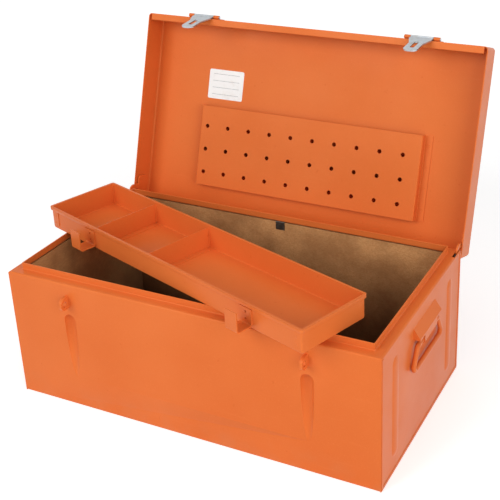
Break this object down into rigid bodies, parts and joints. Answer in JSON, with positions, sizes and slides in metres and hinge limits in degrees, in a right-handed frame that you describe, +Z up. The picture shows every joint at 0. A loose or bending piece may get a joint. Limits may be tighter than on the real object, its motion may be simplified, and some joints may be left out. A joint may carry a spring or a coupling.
{
  "type": "tool chest",
  "caption": "Folded sheet steel tool chest with a hinged lid on concealed arms, slotted hasps over padlock eyes, drop handles, lined body, perforated tool panel and a lift-out tray.",
  "frame": {"origin": "middle of the body's underside, where the chest stands", "axes": "+Z up, +X to the right end as seen from the front, +Y to the hinge side at the back"},
  "size_m": [0.7219, 0.5959, 0.5824],
  "materials": {
    "orange_paint": "satin orange-peel paint",
    "hardboard": "matt brown hardboard",
    "zinc_steel": "zinc plated",
    "dark_steel": "blackened spring steel"
  },
  "bodies": {
    "chest": {"body_shell": "orange_paint", "end_panel_left": "orange_paint", "end_panel_right": "orange_paint", "floor_board": "hardboard", "front_board": "hardboard", "back_board": "hardboard", "left_board": "hardboard", "right_board": "hardboard", "liner_clip_front": "dark_steel", "liner_clip_back": "dark_steel", "padlock_eye_left": "orange_paint", "padlock_eye_right": "orange_paint", "pivot_pin_left": "zinc_steel", "pivot_pin_right": "zinc_steel", "handle_plate_left": "orange_paint", "handle_plate_right": "orange_paint", "handle_rivets": "orange_paint"},
    "lid": {"lid_pan": "orange_paint", "tool_panel": "orange_paint", "hinge_arm_left": "orange_paint", "hinge_arm_right": "orange_paint", "hasp_leaf_left": "orange_paint", "hasp_leaf_right": "orange_paint", "hasp_pin_left": "zinc_steel", "hasp_pin_right": "zinc_steel", "hasp_rivets": "zinc_steel"},
    "hasp_left": {"hasp_left": "zinc_steel"},
    "hasp_right": {"hasp_right": "zinc_steel"},
    "handle_left": {"handle_bail_left": "orange_paint"},
    "handle_right": {"handle_bail_right": "orange_paint"},
    "tray": {"tray_pan": "orange_paint", "tray_divider_short": "orange_paint", "tray_divider_long": "orange_paint", "tray_bracket_left": "orange_paint", "tray_bracket_right": "orange_paint", "bracket_rivets": "orange_paint"}
  },
  "joints": [
    {"name": "lid_hinge", "type": "hinge", "parent": "chest", "child": "lid", "pos_m": [0, 0.18, 0.2315], "axis": [1, 0, 0], "range_deg": [0, 108]},
    {"name": "hasp_left_hinge", "type": "hinge", "parent": "lid", "child": "hasp_left", "pos_m": [-0.223, 0.31335, 0.57879], "axis": [-1, 0, 0], "range_deg": [0, 150]},
    {"name": "hasp_right_hinge", "type": "hinge", "parent": "lid", "child": "hasp_right", "pos_m": [0.223, 0.31335, 0.57879], "axis": [-1, 0, 0], "range_deg": [0, 150]},
    {"name": "handle_left_swing", "type": "hinge", "parent": "chest", "child": "handle_left", "pos_m": [-0.35105, 0, 0.186], "axis": [0, 1, 0], "range_deg": [0, 125]},
    {"name": "handle_right_swing", "type": "hinge", "parent": "chest", "child": "handle_right", "pos_m": [0.35105, 0, 0.186], "axis": [0, -1, 0], "range_deg": [0, 125]},
    {"name": "tray_lift", "type": "slide", "parent": "chest", "child": "tray", "axis": [0, -0.9848, 0.1736], "range_m": [0, 0.4]}
  ],
  "couplings": [
    {"joint": "tray_lift", "follows": "lid_hinge", "m_per_rad": 0.2122},
    {"joint": "hasp_left_hinge", "follows": "lid_hinge", "ratio": 0.4815},
    {"joint": "hasp_right_hinge", "follows": "lid_hinge", "ratio": 0.4815}
  ]
}
